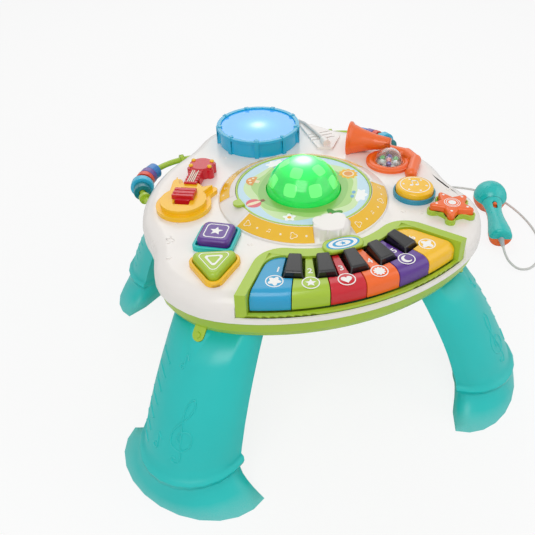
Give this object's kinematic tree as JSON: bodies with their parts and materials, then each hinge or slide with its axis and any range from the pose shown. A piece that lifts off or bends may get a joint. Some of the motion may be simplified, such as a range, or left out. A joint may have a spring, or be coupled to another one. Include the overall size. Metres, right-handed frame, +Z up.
{
  "type": "musical activity table",
  "caption": "Toddler activity table on four splayed legs, with a keyboard, drum, guitar, horn, push buttons, a turning picture disc, bead bars and a corded microphone.",
  "frame": {"origin": "on the floor, under the middle of the box that holds the table and the microphone", "axes": "+Z up, +Y from the keyboard at the front to the drum at the back, +X to the table's right, seen from the keyboard"},
  "size_m": [0.7606, 0.5543, 0.288],
  "materials": {
    "lime_plastic": "gloss",
    "white_plastic": "satin",
    "teal_plastic": "gloss",
    "steel": "satin",
    "battery_wrap": "satin",
    "board": "matte",
    "dark_plastic": "matte",
    "paper_cone": "matte",
    "blue_plastic": "gloss",
    "red_plastic": "gloss",
    "orange_plastic": "gloss",
    "purple_plastic": "gloss",
    "yellow_plastic": "gloss",
    "black_plastic": "gloss",
    "contact_rubber": "matte",
    "amber_lens": "gloss",
    "picture_print": "satin",
    "green_lens": "gloss",
    "led_white": "gloss",
    "blue_lens": "gloss",
    "drum_skin_lens": "satin",
    "clear_plastic": "gloss",
    "petrol_plastic": "gloss",
    "bead_plastic": "gloss",
    "grey_rubber": "satin",
    "cord_grey": "satin"
  },
  "bodies": {
    "table": {"bottom_case": "lime_plastic", "top_shell": "white_plastic", "leg_front_left": "teal_plastic", "leg_front_right": "teal_plastic", "leg_back_left": "teal_plastic", "leg_back_right": "teal_plastic", "leg_lock_buttons": "lime_plastic", "case_screws": "steel", "batteries": "battery_wrap", "battery_contacts": "steel", "main_board": "board", "speaker": "dark_plastic", "speaker_cone": "paper_cone", "speaker_panel": "white_plastic", "keyboard_frame": "lime_plastic", "contact_boards": "board", "rubber_contacts": "contact_rubber", "light_ring": "amber_lens", "dome_lens": "green_lens", "led_boards": "led_white", "drum_shell": "blue_lens", "guitar_body": "yellow_plastic", "guitar_neck": "red_plastic", "horn": "orange_plastic", "rattle_dome": "clear_plastic", "rattle_beads": "red_plastic", "round_base": "petrol_plastic", "star_base": "lime_plastic", "square_base": "teal_plastic", "triangle_base": "yellow_plastic", "bead_bars": "lime_plastic", "mic_cord": "cord_grey"},
    "key_1": {"key_1": "blue_plastic"},
    "key_2": {"key_2": "lime_plastic"},
    "key_3": {"key_3": "red_plastic"},
    "key_4": {"key_4": "orange_plastic"},
    "key_5": {"key_5": "purple_plastic"},
    "key_6": {"key_6": "yellow_plastic"},
    "black_key_1": {"black_key_1": "black_plastic"},
    "black_key_2": {"black_key_2": "black_plastic"},
    "black_key_3": {"black_key_3": "black_plastic"},
    "black_key_4": {"black_key_4": "black_plastic"},
    "black_key_5": {"black_key_5": "black_plastic"},
    "round_button": {"round_cap": "yellow_plastic"},
    "star_button": {"star_cap": "orange_plastic"},
    "square_button": {"square_cap": "purple_plastic"},
    "triangle_button": {"triangle_cap": "lime_plastic"},
    "drum_head": {"drum_skin": "drum_skin_lens"},
    "turntable": {"disc_rim": "lime_plastic", "picture_disc": "picture_print"},
    "guitar_switch": {"guitar_slider": "red_plastic"},
    "left_bead_group": {"left_beads": "bead_plastic"},
    "right_bead_group": {"right_beads": "bead_plastic"},
    "door": {"battery_door": "lime_plastic", "battery_door_screw": "steel"},
    "microphone": {"mic_front": "teal_plastic", "mic_back": "orange_plastic", "mic_cap": "orange_plastic", "mic_relief": "grey_rubber"},
    "mic_slider": {"mic_switch": "orange_plastic"}
  },
  "joints": [
    {"name": "key_1_press", "type": "hinge", "parent": "table", "child": "key_1", "pos_m": [-0.16426, -0.12234, 0.23], "axis": [0.8583, -0.5132, 0], "range_deg": [0, 2.5], "stiffness_Nm_per_rad": 0.6, "springref_deg": -2.86},
    {"name": "key_2_press", "type": "hinge", "parent": "table", "child": "key_2", "pos_m": [-0.13963, -0.13367, 0.23], "axis": [0.9482, -0.3177, 0], "range_deg": [0, 2.5], "stiffness_Nm_per_rad": 0.6, "springref_deg": -2.86},
    {"name": "key_3_press", "type": "hinge", "parent": "table", "child": "key_3", "pos_m": [-0.11315, -0.13947, 0.23], "axis": [0.9942, -0.1076, 0], "range_deg": [0, 2.5], "stiffness_Nm_per_rad": 0.6, "springref_deg": -2.86},
    {"name": "key_4_press", "type": "hinge", "parent": "table", "child": "key_4", "pos_m": [-0.08605, -0.13947, 0.23], "axis": [0.9942, 0.1076, 0], "range_deg": [0, 2.5], "stiffness_Nm_per_rad": 0.6, "springref_deg": -2.86},
    {"name": "key_5_press", "type": "hinge", "parent": "table", "child": "key_5", "pos_m": [-0.05957, -0.13367, 0.23], "axis": [0.9482, 0.3177, 0], "range_deg": [0, 2.5], "stiffness_Nm_per_rad": 0.6, "springref_deg": -2.86},
    {"name": "key_6_press", "type": "hinge", "parent": "table", "child": "key_6", "pos_m": [-0.03494, -0.12234, 0.23], "axis": [0.8583, 0.5132, 0], "range_deg": [0, 2.5], "stiffness_Nm_per_rad": 0.6, "springref_deg": -2.86},
    {"name": "black_key_1_press", "type": "hinge", "parent": "table", "child": "black_key_1", "pos_m": [-0.15225, -0.12867, 0.23], "axis": [0.9085, -0.4179, 0], "range_deg": [0, 4], "stiffness_Nm_per_rad": 0.5, "springref_deg": -2.86},
    {"name": "black_key_2_press", "type": "hinge", "parent": "table", "child": "black_key_2", "pos_m": [-0.12655, -0.13728, 0.23], "axis": [0.9769, -0.2139, 0], "range_deg": [0, 4], "stiffness_Nm_per_rad": 0.5, "springref_deg": -2.86},
    {"name": "black_key_3_press", "type": "hinge", "parent": "table", "child": "black_key_3", "pos_m": [-0.0996, -0.1402, 0.23], "axis": [1, 0, 0], "range_deg": [0, 4], "stiffness_Nm_per_rad": 0.5, "springref_deg": -2.86},
    {"name": "black_key_4_press", "type": "hinge", "parent": "table", "child": "black_key_4", "pos_m": [-0.07265, -0.13728, 0.23], "axis": [0.9769, 0.2139, 0], "range_deg": [0, 4], "stiffness_Nm_per_rad": 0.5, "springref_deg": -2.86},
    {"name": "black_key_5_press", "type": "hinge", "parent": "table", "child": "black_key_5", "pos_m": [-0.04695, -0.12867, 0.23], "axis": [0.9085, 0.4179, 0], "range_deg": [0, 4], "stiffness_Nm_per_rad": 0.5, "springref_deg": -2.86},
    {"name": "round_button_press", "type": "slide", "parent": "table", "child": "round_button", "axis": [0, 0, -1], "range_m": [0, 0.003], "stiffness_N_per_m": 300, "springref_m": -0.003},
    {"name": "star_button_press", "type": "slide", "parent": "table", "child": "star_button", "axis": [0, 0, -1], "range_m": [0, 0.003], "stiffness_N_per_m": 300, "springref_m": -0.003},
    {"name": "square_button_press", "type": "slide", "parent": "table", "child": "square_button", "axis": [0, 0, -1], "range_m": [0, 0.003], "stiffness_N_per_m": 300, "springref_m": -0.003},
    {"name": "triangle_button_press", "type": "slide", "parent": "table", "child": "triangle_button", "axis": [0, 0, -1], "range_m": [0, 0.003], "stiffness_N_per_m": 300, "springref_m": -0.003},
    {"name": "drum_press", "type": "slide", "parent": "table", "child": "drum_head", "axis": [0, 0, -1], "range_m": [0, 0.003], "stiffness_N_per_m": 500, "springref_m": -0.003},
    {"name": "disc_turn", "type": "hinge", "parent": "table", "child": "turntable", "pos_m": [-0.0996, -0.0142, 0.245], "axis": [0, 0, 1], "range_deg": [-40, 40]},
    {"name": "guitar_slide", "type": "slide", "parent": "table", "child": "guitar_switch", "axis": [0.454, 0.891, 0], "range_m": [-0.005, 0.005]},
    {"name": "left_beads_slide", "type": "hinge", "parent": "table", "child": "left_bead_group", "pos_m": [-0.2086, 0.0988, 0.214], "axis": [0, 0, 1], "range_deg": [-28, 4]},
    {"name": "right_beads_slide", "type": "hinge", "parent": "table", "child": "right_bead_group", "pos_m": [0.0094, 0.0988, 0.214], "axis": [0, 0, 1], "range_deg": [-4, 28]},
    {"name": "battery_door_open", "type": "hinge", "parent": "table", "child": "door", "pos_m": [-0.0996, 0.0138, 0.184], "axis": [-1, 0, 0], "range_deg": [0, 75]},
    {"name": "mic_tip_up", "type": "hinge", "parent": "table", "child": "microphone", "pos_m": [0.28272, 0.04032, 0.02008], "axis": [0.9063, -0.4226, 0], "range_deg": [0, 70]},
    {"name": "mic_switch_slide", "type": "slide", "parent": "microphone", "child": "mic_slider", "axis": [0.4208, 0.9025, 0.0921], "range_m": [-0.0025, 0.0025]}
  ]
}
